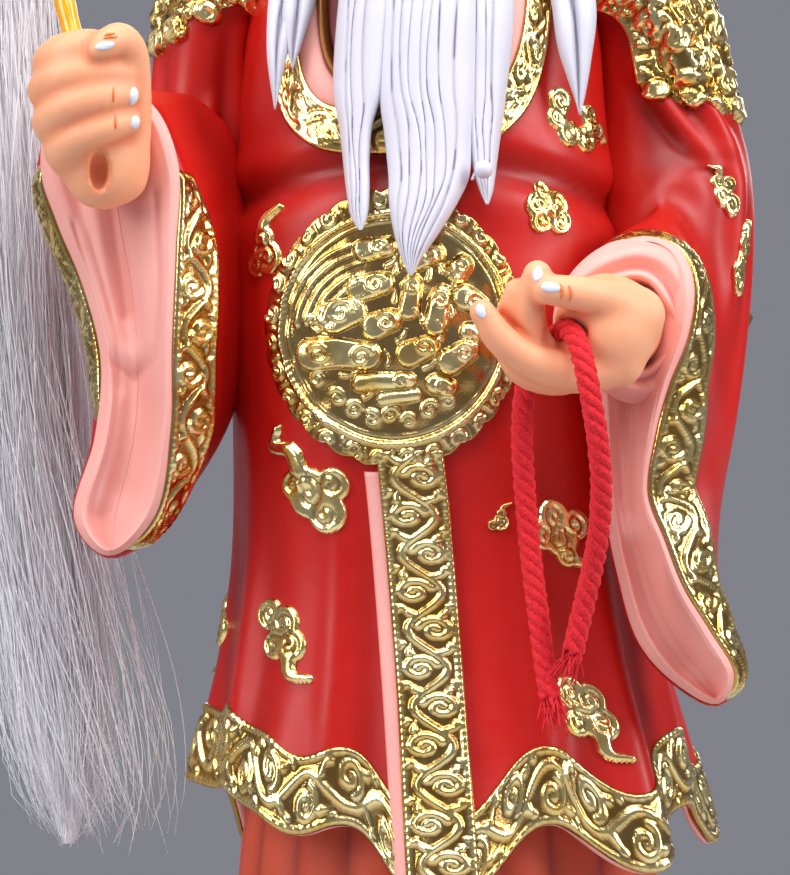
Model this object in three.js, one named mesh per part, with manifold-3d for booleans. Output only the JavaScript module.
// A resin matchmaker god about 40 cm tall: an old man in a wide-sleeved robe, standing on a low oval base.
// His right hand holds a whisk of white hair on an amber rod, and a red cord hangs through the fingers of his left.
// Millimetres, +Z up, the face looks along -Y. The origin is the middle of the base's underside.
import * as THREE from "three";
import { mergeVertices } from "three/addons/utils/BufferGeometryUtils.js";
import Module from "manifold-3d";

const wasm = await Module();
wasm.setup();

const { cos, sin, abs, min, max, exp, hypot, PI } = Math;
const DEG = PI / 180;
const vec = (x, y, z) => new THREE.Vector3(x, y, z);

// Driving dimensions
const BASE_TOP = 18;
const BASE_HALF_WIDTH = 69;
const BASE_HALF_DEPTH = 60;
const GAP = 0.3;
const SOLE_Z = BASE_TOP + GAP;
const HEM_Z = 58;
const HEM_LOBES = 8;
const HEM_LOBE_HEIGHT = 9;
const HEM_BAND = 21;
const ROBE_TOP = 321;
const ROBE_SIDES = 64;
const LINING_DEPTH = 15;
const TRIM_RAISE = 1.1;
const MEDALLION = { x: -11.8, z: 203, radius: 31.6, rim: 38 };
const ROD_RADIUS = 2.8;
const CORD_RADIUS = 3;
const CORD_SIDES = 8;

// Half width, depth in front, depth behind and middle of the robe at each height.
const ROBE = [
  [44, 71, 57, 50, 3.5],
  [62, 70, 55, 48, 3.5],
  [90, 65.5, 51, 45, 2.5],
  [115, 60.5, 47, 41, 1.5],
  [140, 57, 45, 38, 0.5],
  [175, 55.5, 47.5, 36, -1.5],
  [205, 55.5, 50, 35, -3],
  [235, 54, 45.5, 34, -4],
  [262, 51.5, 41, 33, -4],
  [290, 49, 36, 31, -4],
  [305, 45, 29, 27, -4],
  [314, 35, 22, 22, -4],
  [321, 16, 13, 14, -4],
];

// Pleats of the skirt: angle at the hem in degrees, height, width in degrees, and where each runs out.
const PLEATS = [
  [-28, 2.2, 4.5, 235],
  [-60, 2.6, 5, 215],
  [24, 2.4, 4.5, 200],
  [47, 3.2, 5, 190],
  [72, 2.6, 6, 190],
  [-88, 2.6, 6, 190],
  [98, 2.6, 6, 200],
  [124, 3, 6, 230],
  [-116, 3, 6, 220],
  [151, 2.6, 6, 200],
  [-146, 2.8, 6, 240],
  [176, 3, 6, 215],
];

// Values of keyed rows, [place, value, value, ...], on a smooth curve through them.
function between(rows, place) {
  const last = rows.length - 1;
  const at = min(max(place, rows[0][0]), rows[last][0]);
  let i = 0;
  while (i < last - 1 && at > rows[i + 1][0]) i++;
  const [p, a, b, q] = [rows[max(i - 1, 0)], rows[i], rows[i + 1], rows[min(i + 2, last)]];
  const span = b[0] - a[0];
  const t = (at - a[0]) / span;
  return a.slice(1).map((_, k) => {
    const j = k + 1;
    const start = ((b[j] - p[j]) / (b[0] - p[0])) * span;
    const end = ((q[j] - a[j]) / (q[0] - a[0])) * span;
    const d = b[j] - a[j];
    return a[j] + start * t + (3 * d - 2 * start - end) * t * t + (start + end - 2 * d) * t ** 3;
  });
}

const bell = (x) => exp(-x * x);
const ease = (x) => {
  const t = min(max(x, 0), 1);
  return t * t * (3 - 2 * t);
};
const turn = (angle) => ((((angle + PI) % (2 * PI)) + 2 * PI) % (2 * PI)) - PI;

// A closed surface through rings of points. Each end is closed by a fan, or the last ring meets the first.
function skin(rings, wrap = false) {
  const n = rings[0].length;
  const points = rings.flat().map((p) => [p.x, p.y, p.z]);
  const faces = [];
  const last = wrap ? rings.length : rings.length - 1;
  for (let r = 0; r < last; r++) {
    const [low, high] = [r * n, ((r + 1) % rings.length) * n];
    for (let i = 0; i < n; i++) {
      const j = (i + 1) % n;
      faces.push([low + i, low + j, high + j], [low + i, high + j, high + i]);
    }
  }
  if (!wrap) {
    [0, rings.length - 1].forEach((r) => {
      const middle = rings[r].reduce((sum, p) => sum.add(p), vec(0, 0, 0)).divideScalar(n);
      const centre = points.push([middle.x, middle.y, middle.z]) - 1;
      for (let i = 0; i < n; i++) {
        const [a, b] = [r * n + i, r * n + ((i + 1) % n)];
        faces.push(r ? [a, b, centre] : [b, a, centre]);
      }
    });
  }
  const geometry = new THREE.BufferGeometry();
  geometry.setAttribute("position", new THREE.Float32BufferAttribute(points.flat(), 3));
  geometry.setIndex(faces.flat());
  return geometry;
}

// A three.js geometry as a manifold-3d solid, turned outside out if its faces point inwards.
function solid(geometry) {
  const bare = geometry.clone();
  bare.deleteAttribute("normal");
  bare.deleteAttribute("uv");
  const merged = mergeVertices(bare, 1e-3);
  const vertProperties = merged.attributes.position.array;
  const triVerts = new Uint32Array(merged.index.array);
  const made = new wasm.Manifold(new wasm.Mesh({ numProp: 3, vertProperties, triVerts }));
  if (made.volume() > 0) return made;
  for (let i = 0; i < triVerts.length; i += 3) {
    [triVerts[i + 1], triVerts[i + 2]] = [triVerts[i + 2], triVerts[i + 1]];
  }
  return new wasm.Manifold(new wasm.Mesh({ numProp: 3, vertProperties, triVerts }));
}

// The solids as one, without the sealed hollows that may stay between them.
function join(solids) {
  const whole = solids.reduce((sum, piece) => sum.add(piece));
  const shells = whole.decompose().filter((shell) => shell.volume() > 0);
  return shells.reduce((sum, shell) => sum.add(shell));
}

function geometryOf(made) {
  const { vertProperties, triVerts } = made.getMesh();
  const geometry = new THREE.BufferGeometry();
  geometry.setAttribute("position", new THREE.BufferAttribute(vertProperties, 3));
  geometry.setIndex(new THREE.BufferAttribute(triVerts, 1));
  return geometry;
}

function ball(centre, radii, tilt = [0, 0, 0], sides = 10) {
  const geometry = new THREE.SphereGeometry(1, sides, Math.round(sides * 0.65));
  geometry.scale(...radii);
  tilt.forEach((angle, axis) => geometry[["rotateX", "rotateY", "rotateZ"][axis]](angle * DEG));
  geometry.translate(...centre);
  return solid(geometry);
}

// A tapering round or flat limb along points, [x, y, z, radius]; flat is its thickness over its width.
function limb(rows, { sides = 6, steps = 4, flat = 1, facing = vec(0, -1, 0) } = {}) {
  const path = new THREE.CatmullRomCurve3(rows.map(([x, y, z]) => vec(x, y, z)));
  const radii = rows.map((row, i) => [i / (rows.length - 1), row[3]]);
  const rings = [];
  for (let s = 0; s <= steps; s++) {
    const t = s / steps;
    const along = path.getTangent(t);
    const wide = new THREE.Vector3().crossVectors(along, facing).normalize();
    const thick = new THREE.Vector3().crossVectors(wide, along).normalize();
    const [radius] = between(radii, t);
    rings.push(
      Array.from({ length: sides }, (_, i) => {
        const a = (2 * PI * i) / sides;
        const p = path.getPoint(t).addScaledVector(wide, radius * cos(a));
        return p.addScaledVector(thick, radius * flat * sin(a));
      }),
    );
  }
  return solid(skin(rings));
}

// The robe's surface
// The hem hangs in lobes, but for one long slope at the front on the picture's left.
function hemHeight(angle) {
  const near = (degrees, width) => bell(turn(angle - degrees * DEG) / (width * DEG));
  const depth = 1 - 0.85 * near(-45, 13) - 0.7 * near(-80, 18) - 0.6 * near(64, 15);
  const rises = 10 * near(-52, 20) + 13.5 * near(-93, 16) - 6 * near(-12, 10);
  return HEM_Z + 11 * sin(angle) ** 2 - HEM_LOBE_HEIGHT * depth * cos(HEM_LOBES * angle) + rises;
}

function pleats(angle, z) {
  return PLEATS.reduce((sum, [place, height, width, top]) => {
    const off = turn(angle - place * DEG) / (width * DEG);
    const fade = 1 - ease((z - HEM_Z - 20) / (top - HEM_Z - 20));
    return sum + height * fade * (bell(off) - 0.55 * bell((off - 1.9) / 1.3));
  }, 0);
}

function belly(angle, x, z) {
  const front = ease((cos(angle) + 0.1) / 0.5);
  const crease = 249 - 0.0042 * (x + 4) ** 2;
  return front * (1.6 * bell((z - crease + 10) / 8) - 3 * bell((z - crease) / 4.5) + 1.2 * bell((z - crease - 8) / 6));
}

function robePoint(angle, z, out = 0) {
  const [width, front, back, middle] = between(ROBE, z);
  const [s, c] = [sin(angle), cos(angle)];
  const square = (abs(s) ** 2.3 + abs(c) ** 2.3) ** (-1 / 2.3);
  const lobe = 4.5 * cos(HEM_LOBES * angle) * (1 - ease((z - HEM_Z + 10) / 65));
  const depth = c > 0 ? front : back;
  const x = middle + width * square * s;
  const swell = lobe + pleats(angle, z) + belly(angle, x, z) + out;
  return vec(x + swell * s, -(depth * square + swell) * c, z);
}

// The point in front of the robe at x and z, a little out from the cloth.
function onFront(x, z, out) {
  let angle = 0;
  for (let i = 0; i < 12; i++) {
    const p = robePoint(angle, z);
    const [width] = between(ROBE, z);
    angle += (x - p.x) / (width * max(cos(angle), 0.35));
    angle = min(max(angle, -1.5), 1.5);
  }
  return robePoint(angle, z, out);
}

function robe() {
  const ring = (height, out) =>
    Array.from({ length: ROBE_SIDES }, (_, i) => {
      const angle = (2 * PI * i) / ROBE_SIDES;
      return robePoint(angle, height(hemHeight(angle)), out);
    });
  const band = [0, HEM_BAND].map((rise) => ring((hem) => hem + rise, TRIM_RAISE));
  const rows = [0.085, 0.24, 0.4, 0.53, 0.64, 0.7, 0.73, 0.765, 0.86, 0.94, 1];
  const outside = rows.map((t) => ring((hem) => hem + t * (ROBE_TOP - hem), 0));
  const inside = [-12, -2.4].map((inset, i) => ring((hem) => hem + LINING_DEPTH * (1 - i), inset));
  return solid(skin([...inside, ...band, ...outside]));
}

function underRobe() {
  const rows = [
    [SOLE_Z, 56, 41, 40],
    [30, 58, 43, 41],
    [60, 57, 44, 41],
    [88, 52, 40, 37],
  ];
  const rings = rows.map(([z, width, front, back]) =>
    Array.from({ length: 20 }, (_, i) => {
      const angle = (2 * PI * i) / 20;
      const swell = z < 80 ? 1.6 * cos(5 * angle) : 0;
      const depth = cos(angle) > 0 ? front : back;
      return vec(3 + (width + swell) * sin(angle), -(depth + swell) * cos(angle), z);
    }),
  );
  return solid(skin(rings));
}

function boots() {
  return join(
    [-1, 1].map((side) => {
      const toe = [3 + side * 21, -40, SOLE_Z + 7];
      const upper = ball(toe, [13, 21, 11], [0, 0, side * 6], 8);
      const sole = new THREE.CylinderGeometry(14, 14, 4, 12);
      sole.rotateX(PI / 2);
      sole.scale(1, 1.55, 1);
      sole.rotateZ(side * 6 * DEG);
      sole.translate(toe[0], toe[1], SOLE_Z + 2);
      return upper.add(solid(sole));
    }),
  );
}

// Everything below the sole is cut away, so that the figure stands flat on its base.
function cutFlat(whole) {
  const below = new THREE.BoxGeometry(400, 400, 100);
  below.translate(0, 0, SOLE_Z - 50);
  return whole.subtract(solid(below));
}

// Raised gold work that follows the cloth
const bandRing = (points, out, sunk) => [...points.map((p) => p(out)), ...points.map((p) => p(sunk)).reverse()];

function placket() {
  const rows = 7;
  const [top, foot] = [168, 52];
  const half = 9;
  const rings = Array.from({ length: rows }, (_, i) => {
    const z = top + ((foot - top) * i) / (rows - 1);
    const middle = -7.5 + 9 * ((top - z) / (top - foot)) ** 0.8;
    const points = [-half, 0, half].map((x) => (out) => onFront(middle + x, z, out));
    return bandRing(points, 2 * TRIM_RAISE, -2);
  });
  return solid(skin(rings));
}

// A round or lobed plate on the front of the robe. radius(angle) is its outline, and rows are [share, raise].
function plate(x, z, radius, rows, sides) {
  const rings = rows.map(([share, out]) =>
    Array.from({ length: sides }, (_, i) => {
      const a = (2 * PI * i) / sides;
      const r = radius(a) * share;
      return onFront(x + r * sin(a), z + r * cos(a), out);
    }),
  );
  return solid(skin(rings));
}

function medallion() {
  const { x, z, radius, rim } = MEDALLION;
  const scallops = 20;
  const border = (a) => rim - 1 + 1.4 * cos(scallops * a);
  const inner = radius / rim;
  const rows = [
    [1, -2],
    [1, 1.4],
    [inner, 2.6],
    [inner - 0.06, 1.2],
  ];
  const disc = plate(x, z, border, rows, 40);
  const scroll = (dx, dz, r, lobes) =>
    plate(x + dx, z + dz, (a) => r * (1 + 0.14 * cos(lobes * a)), [[1, -1.5], [0.9, 2.6]], 7);
  return join([
    disc,
    scroll(-9, -1, 8, 5),
    scroll(8, 6, 8, 4),
    scroll(-12, 15, 8.5, 5),
    scroll(2, -17, 8, 5),
    scroll(-15, -15, 6, 3),
  ]);
}

// Small clouds on the robe: place, size, lobes, and the way that each leans in degrees.
const CLOUDS = [
  [-42, 161, 11, 0.55, -35],
  [-46, 118, 10, 0.6, -65],
  [32, 147, 10.5, 0.8, 10],
  [44, 97, 11, 0.6, -50],
  [30, 236, 10, 0.6, -45],
  [34, 262, 9, 0.7, -30],
  [-50, 227, 11, 0.5, 50],
];

function cloud([x, z, size, slim, lean]) {
  const a0 = lean * DEG;
  const outline = (a) => {
    const b = a - a0;
    const oval = 1 / hypot(sin(b), cos(b) / slim);
    return size * oval * (1 + 0.1 * cos(4 * b));
  };
  return plate(x, z, outline, [[1, -0.8], [0.95, 1.2]], 8);
}

// A piece of a U-shaped collar between two ellipses about x, z.
function collar(x, z, outer, inner, reach, raise) {
  const steps = 9;
  const rings = Array.from({ length: steps + 1 }, (_, i) => {
    const a = ((2 * i) / steps - 1) * reach * DEG;
    const points = [outer, inner].map(
      ([wide, tall]) =>
        (out) =>
          onFront(x + wide * sin(a), z - tall * cos(a), out),
    );
    return bandRing(points, raise, -2.5);
  });
  return solid(skin(rings));
}

// Sleeves: each is a cloth tube through rings, down the arm to a long hanging mouth with a hollow inside.
// A mouth is a loop of points from its top round by its outer side in the picture plane.
const LEFT_MOUTH = [
  [-92, -40, 268], [-79, -46, 263], [-72, -50, 247], [-72, -52, 223], [-73, -52, 197], [-73.5, -50, 175],
  [-78.5, -46, 152], [-90, -42, 142.5], [-98, -38, 151], [-92.5, -38, 173], [-91, -36, 194.5],
  [-96, -34, 215], [-103, -33, 232], [-107.5, -34, 247], [-104.5, -36, 261.5],
];
const RIGHT_MOUTH = [
  [56, -50, 226.5], [64, -56, 223.5], [67.5, -61, 214.5], [66, -63, 201], [61, -63, 187.5], [57.5, -63, 174],
  [55.5, -62, 158], [60, -62, 145.5], [65, -62, 132.5], [72.5, -60, 120], [78.5, -57, 109], [75.5, -52, 102.5],
  [65.5, -48, 107.5], [56, -46, 118], [50, -46, 137.5], [46.5, -46, 156.5], [44.5, -47, 178],
  [42.5, -48, 200], [43.5, -48, 216], [48, -48, 224],
];
const MOUTH_SIDES = 20;

// Rings down the arm, [centre, towards the front or top, towards the picture's right].
const LEFT_ARM = [
  [[-30, 2, 304], [0, -16, 0], [0, 0, -12]],
  [[-50, 3, 303], [0, -17, 0], [8, 0, -12]],
  [[-62, 3, 292], [0, -16.5, 0], [13, 0, -7]],
  [[-66, 3, 272], [0, -15, 0], [13, 0, 0]],
  [[-67.5, 1, 250], [0, -15, 9], [14, 0, 0]],
  [[-67.5, -6, 233], [0, -8, 31], [16.5, 5, 0]],
  [[-68.5, -18, 217], [0, -2, 51], [17.5, 8, 0]],
];
const RIGHT_ARM = [
  [[22, 2, 304], [0, -16, 0], [0, 0, 12]],
  [[42, 3, 303], [0, -17, 0], [8, 0, 12]],
  [[58, 3, 293], [0, -16.5, 0], [15, 0, 8]],
  [[64.5, 2, 272], [0, -16, 0], [17, 0, 1]],
  [[68.5, 0, 248], [0, -17, 6], [19.5, 0, 0]],
  [[68.5, -9, 224], [-3, -11, 22], [18, 2, 0]],
  [[66.5, -24, 188], [-4, 0, 50], [13, 4, 0]],
];

const ellipseRing = ([centre, up, side]) =>
  Array.from({ length: MOUTH_SIDES }, (_, i) => {
    const a = (2 * PI * i) / MOUTH_SIDES;
    return vec(...centre).addScaledVector(vec(...up), cos(a)).addScaledVector(vec(...side), sin(a));
  });

function mouthRing(loop) {
  const curve = new THREE.CatmullRomCurve3(loop.map((p) => vec(...p)), true);
  return curve.getSpacedPoints(MOUTH_SIDES).slice(0, MOUTH_SIDES);
}

// Where the gold trim ends: the mouth, moved back and out by the trim's width on its outer side.
function trimRing(mouth, width, back) {
  const n = mouth.length;
  return mouth.map((p, i) => {
    const along = mouth[(i + 1) % n].clone().sub(mouth[(i + n - 1) % n]);
    const outward = vec(along.z, 0, -along.x).normalize();
    const share = ease(sin((2 * PI * i) / n) * 1.6 + 0.1);
    return p.clone().addScaledVector(outward, -(1.5 + (width - 1.5) * share)).add(vec(0, back, 0));
  });
}

// The mouth drawn in towards its own middle line, and moved back.
function innerRing(mouth, share, back) {
  const n = mouth.length;
  return mouth.map((p, i) => {
    const across = mouth[(n - i) % n];
    const middle = p.clone().add(across).multiplyScalar(0.5);
    return p.clone().lerp(middle, share).add(vec(0, back, 0));
  });
}

// Smooth rings between given ones, on curves through matching points.
function threaded(rings, steps) {
  const curves = rings[0].map((_, i) => new THREE.CatmullRomCurve3(rings.map((ring) => ring[i])));
  return Array.from({ length: steps + 1 }, (_, s) => curves.map((curve) => curve.getPoint(s / steps)));
}

function sleeve(arm, loop, trimWidth) {
  const mouth = mouthRing(loop);
  const edge = trimRing(mouth, trimWidth, 11);
  const cloth = threaded([...arm.map(ellipseRing), edge], 7);
  const raised = trimRing(mouth, trimWidth + 1, 10);
  const rim = trimRing(mouth, 1.2, 0.5);
  const hollow = [[0.12, 0], [0.6, 11]].map(([share, back]) => innerRing(mouth, share, back));
  return solid(skin([...cloth, raised, rim, ...hollow]));
}

// Hands
// The closed hand is a stack of four bent fingers, one bump in height each, with the thumb laid over them.
const FIST = { x: -93, y: -57, foot: 236, top: 280, width: 14.5, depth: 10.5, fingers: 4 };

function fist() {
  const { x, y, foot, top, width, depth, fingers } = FIST;
  const rows = 3 * fingers;
  const rings = Array.from({ length: rows + 1 }, (_, row) => {
    const t = row / rows;
    const across = 0.62 + 0.38 * sin(PI * (0.14 + 0.72 * t));
    const bump = 1.5 * abs(sin(PI * fingers * t));
    return Array.from({ length: 14 }, (_, i) => {
      const a = (2 * PI * i) / 14;
      const front = ease(0.5 - sin(a) * 0.8 - cos(a) * 0.3);
      const r = across + (bump * front) / width;
      return vec(x - 3 * t + width * r * cos(a), y + depth * r * sin(a), foot + t * (top - foot));
    });
  });
  const wrist = limb([[-87, -30, 240, 9], [-88, -42, 243, 11], [-91, -54, 250, 11]], { flat: 0.8, steps: 2 });
  const thumb = limb(
    [[-82, -55, 262, 6], [-80, -58, 275, 6], [-86, -64, 283, 5.4], [-93, -69, 271, 3.4]],
    { facing: vec(0.3, -1, 0.2) },
  );
  return join([solid(skin(rings)), wrist, thumb]);
}

function givingHand() {
  const palm = ball([55, -73, 200], [15, 10, 12], [0, -12, 0]);
  const wrist = limb([[59, -40, 203, 11.5], [58, -55, 202, 12], [54, -69, 201, 12]], { facing: vec(0, 0, 1) });
  const thumb = limb([[56, -78, 206, 6], [44, -82, 210, 5.6], [33, -84, 212, 4.8], [25, -85, 213, 3]]);
  const index = limb([[46, -70, 193, 6], [33, -72, 193, 5.6], [26, -77, 201, 5.2], [25, -83, 210, 4.6], [24, -86, 217, 3]], {
    facing: vec(0.2, -1, 0),
  });
  const small = limb([[52, -76, 191, 6.5], [36, -80, 191, 6], [22, -84, 196, 5.2], [14, -86, 203, 4.2], [11, -86, 208, 2.8]]);
  const ring = limb([[50, -68, 190, 6], [36, -70, 187, 5.6], [24, -74, 190, 5], [17, -77, 197, 3.2]]);
  return join([palm, wrist, thumb, index, small, ring]);
}

// The head: half width, depth in front and depth behind at each height.
const HEAD_X = -4;
const HEAD = [
  [308, 15, 12, 15],
  [317, 17, 19, 18],
  [325, 19, 26.5, 21],
  [334, 22.5, 29.5, 25],
  [344, 25, 29.5, 28.5],
  [354, 26, 28.5, 30],
  [363, 25.5, 27.5, 30],
  [372, 21.5, 23, 26.5],
  [379, 13.5, 15, 17],
  [382, 4, 4, 5],
];
const NOSE_Z = 338;
const EYE_Z = 348;

// The face is a plain calm one: a straight nose, brows, closed lids in shallow sockets, and round cheeks.
function face(angle, z) {
  const bridge = z > NOSE_Z ? 1.2 + 3.8 * ease((EYE_Z + 4 - z) / 13) : 5 * ease((z - NOSE_Z + 7) / 5);
  const nose = z < EYE_Z + 6 ? bridge * bell(angle / 0.17) : 0;
  const side = abs(angle);
  const socket = -2 * bell((side - 0.4) / 0.2) * bell((z - EYE_Z) / 3.5);
  const brow = 1.4 * bell((side - 0.42) / 0.3) * bell((z - EYE_Z - 6) / 3);
  const cheek = 1.5 * bell((side - 0.5) / 0.25) * bell((z - NOSE_Z) / 5);
  return nose + socket + brow + cheek;
}

function headPoint(angle, z) {
  const [width, front, back] = between(HEAD, z);
  const depth = cos(angle) > 0 ? front : back;
  const hairline = 1 - ease((1.3 - abs(angle)) / 0.2) * ease((369 - z) / 5);
  const out = face(angle, z) + 2.2 * hairline * ease((z - 322) / 8);
  return vec(HEAD_X + (width + out) * sin(angle), 1 - (depth + out) * cos(angle), z);
}

function head() {
  const sides = 20;
  const heights = [308, 320, 328, 334, 338, 343, 348, 353, 359, 365, 371, 377, 382];
  const rings = heights.map((z) =>
    Array.from({ length: sides }, (_, i) => headPoint((2 * PI * i) / sides, z)),
  );
  const ears = [-1, 1].map((side) => ball([HEAD_X + side * 27, -1, 343], [3, 6, 12], [0, 0, side * -14], 6));
  return join([solid(skin(rings)), ...ears]);
}

// The long hair down the back, the knot on the crown and the band round it
function hair() {
  const fall = limb([[-4, 20, 356, 22], [-4, 27, 324, 25], [-4, 31, 285, 26], [-4, 33, 248, 11]], {
    flat: 0.34,
    sides: 10,
  });
  const knot = ball([HEAD_X, 3, 389], [11, 11, 11], [0, 0, 0], 10);
  const crown = new THREE.CylinderGeometry(11, 13, 8, 12);
  crown.rotateX(PI / 2);
  crown.translate(HEAD_X, 3, 382);
  return join([fall, knot, solid(crown)]);
}

// Locks of the beard and of the hair beside it: points with radii from the top down.
const LOCKS = [
  [[-14, -24, 331, 4.5], [-20, -37, 309, 6.6], [-21.8, -45, 278, 6.4], [-21.8, -52, 250, 4.2], [-20.6, -56, 229.5, 1]],
  [[-9, -27, 326, 5], [-11, -40, 306, 7], [-11, -47, 272, 7.4], [-8.6, -55, 243, 5.4], [-8, -59, 221, 1.2]],
  [[-3, -28, 325, 6], [-2, -42, 304, 8], [-2, -50, 268, 8], [-4.5, -57, 240, 6.2], [-7.2, -60, 216.5, 1.2]],
  [[3, -27, 326, 5], [6, -40, 306, 7.6], [7, -48, 272, 8], [3.5, -56, 246, 5.8], [-2, -58, 228, 1.2]],
  [[8, -24, 331, 4.5], [14, -37, 309, 6.6], [14, -44, 281, 6.6], [12.4, -51, 256, 4.6], [10.6, -55, 238, 1]],
];
const SIDE_LOCKS = [
  [[-29, -8, 340, 3.5], [-35, -20, 318, 5.5], [-40, -33, 290, 5.5], [-41, -39, 263, 1]],
  [[21, -8, 340, 3.5], [30, -20, 318, 5.5], [36, -33, 290, 5.5], [38, -39, 261, 1]],
];

const beard = () =>
  join([...LOCKS, ...SIDE_LOCKS].map((rows) => limb(rows, { flat: 0.62, steps: 4, sides: 6 })));

// A shoulder badge: a gold plate over the top of the sleeve, inside a sphere about centre.
function shoulderBadge(arm, centre, radius) {
  const grown = (v) => vec(...v).setLength(vec(...v).length() + TRIM_RAISE + 0.2);
  const rings = arm.slice(1, 5).map(([middle, up, side]) => ellipseRing([middle, grown(up), grown(side)]));
  return solid(skin(threaded(rings, 5))).intersect(ball(centre, [radius, radius, radius], [0, 0, 0], 12));
}

// The whisk: an amber rod in the fist, with a ferrule and a fall of white hair. The bore runs on out of the fist.
const ROD_FOOT = vec(-91.5, -60, 252);
const ROD_HEAD = vec(-113, -40, 338);
const BORE_FOOT = -0.16;
const HAIR_ROOT = 1.0035;
const rodAt = (t) => ROD_FOOT.clone().lerp(ROD_HEAD, t);

function rod(radius, foot = 0) {
  const along = ROD_HEAD.clone().sub(ROD_FOOT).normalize();
  const wide = vec(0, 1, 0).cross(along).normalize();
  const thick = along.clone().cross(wide);
  const rings = [foot, 1].map((t) =>
    Array.from({ length: 12 }, (_, i) => {
      const a = (2 * PI * i) / 12;
      return rodAt(t).addScaledVector(wide, radius * cos(a)).addScaledVector(thick, radius * sin(a));
    }),
  );
  return solid(skin(rings));
}

function ferrule() {
  const rows = [[0.92, 4], [0.94, 4.6], [0.98, 4.6], [1, 4.4]];
  return limb(rows.map(([t, radius]) => [...rodAt(t), radius]), { steps: 3, sides: 10 });
}

// Middle, half width and half depth of the hair from the ferrule, over the top and down.
const HAIR = [
  [...rodAt(HAIR_ROOT), 4, 4],
  [...rodAt(1.1), 6, 5.5],
  [-121, -25, 358, 9.5, 8],
  [-125, -10, 355, 13, 10],
  [-127, 0, 335, 16, 12],
  [-127, 4, 305, 18.5, 13],
  [-125, 5, 258, 19.5, 13.5],
  [-122, 5, 212, 20, 13],
  [-118, 4, 170, 19, 12],
  [-112, 3, 130, 17.5, 11],
  [-107, 2, 98, 15, 9],
  [-104, 1, 74, 10.5, 7],
  [-103, 0, 58, 3, 3],
];

function whiskHair() {
  const path = new THREE.CatmullRomCurve3(HAIR.map(([x, y, z]) => vec(x, y, z)));
  const sizes = HAIR.map((row, i) => [i / (HAIR.length - 1), row[3], row[4]]);
  const steps = 14;
  const rings = Array.from({ length: steps + 1 }, (_, s) => {
    const t = s / steps;
    const along = path.getTangent(t);
    const wide = along.clone().cross(vec(0.35, -1, 0.5)).normalize();
    const thick = wide.clone().cross(along).normalize();
    const [halfWidth, halfDepth] = between(sizes, t);
    return Array.from({ length: 10 }, (_, i) => {
      const a = (2 * PI * i) / 10;
      const p = path.getPoint(t).addScaledVector(wide, halfWidth * cos(a));
      return p.addScaledVector(thick, halfDepth * sin(a));
    });
  });
  return solid(skin(rings));
}

// The red cord: up from its back tail, through the fingers and down in front.
const CORD = [
  [30, -66, 103], [28.5, -64, 112], [27, -62, 124], [25, -60, 140], [23.5, -60, 156], [22.5, -62, 172],
  [23, -64, 184], [26, -66, 194], [31, -71, 200], [34, -77, 202.5], [36, -83, 200], [38, -87.5, 194],
  [40, -89, 184], [42, -87, 172], [43, -83, 160], [42.5, -78, 148], [40.5, -73, 136], [38, -70, 125], [36, -69, 116],
];

function cord(radius) {
  const path = new THREE.CatmullRomCurve3(CORD.map((p) => vec(...p)));
  const shape = new THREE.Shape();
  for (let i = 0; i < CORD_SIDES; i++) {
    const a = (2 * PI * i) / CORD_SIDES;
    if (i) shape.lineTo(radius * cos(a), radius * sin(a));
    else shape.moveTo(radius, 0);
  }
  return solid(new THREE.ExtrudeGeometry(shape, { extrudePath: path, steps: 18, bevelEnabled: false }));
}

function base() {
  const profile = [
    [0, 0], [1, 0], [1, 4], [0.94, 7], [0.94, 11.5], [0.985, 14.5], [0.985, BASE_TOP], [0, BASE_TOP],
  ];
  const lathe = new THREE.LatheGeometry(profile.map(([r, z]) => new THREE.Vector2(r * BASE_HALF_WIDTH, z)), 32);
  lathe.rotateX(PI / 2);
  lathe.scale(1, BASE_HALF_DEPTH / BASE_HALF_WIDTH, 1);
  return solid(lathe);
}

function figure() {
  const cloth = [robe(), underRobe(), boots(), sleeve(LEFT_ARM, LEFT_MOUTH, 11.5), sleeve(RIGHT_ARM, RIGHT_MOUTH, 13)];
  const gold = [
    placket(),
    medallion(),
    collar(-5, 316, [40, 67], [28, 55], 98, 2.2),
    ...CLOUDS.map(cloud),
    shoulderBadge(LEFT_ARM, [-88, -2, 304], 34),
    shoulderBadge(RIGHT_ARM, [82, -2, 304], 42),
  ];
  const body = [fist(), givingHand(), head(), hair(), beard()];
  const whole = join([...cloth, ...gold, ...body]);
  const bored = cutFlat(whole).subtract(rod(ROD_RADIUS + GAP, BORE_FOOT)).subtract(cord(CORD_RADIUS + GAP));
  return join([solid(geometryOf(bored))]);
}

const paint = (color, roughness, metalness = 0) => new THREE.MeshStandardMaterial({ color, roughness, metalness });

function mesh(name, made, material) {
  const piece = new THREE.Mesh(geometryOf(made), material);
  piece.name = name;
  return piece;
}

const statue = new THREE.Group();
statue.add(
  mesh("figure", figure(), paint(0xd0281c, 0.35)),
  mesh("base", base(), paint(0x7c1410, 0.4)),
  mesh("whisk_handle", rod(ROD_RADIUS).add(ferrule()), paint(0xe0930c, 0.25)),
  mesh("whisk_hair", whiskHair(), paint(0xd9d6e2, 0.8)),
  mesh("red_cord", cord(CORD_RADIUS), paint(0xc8202c, 0.9)),
);

export default statue;
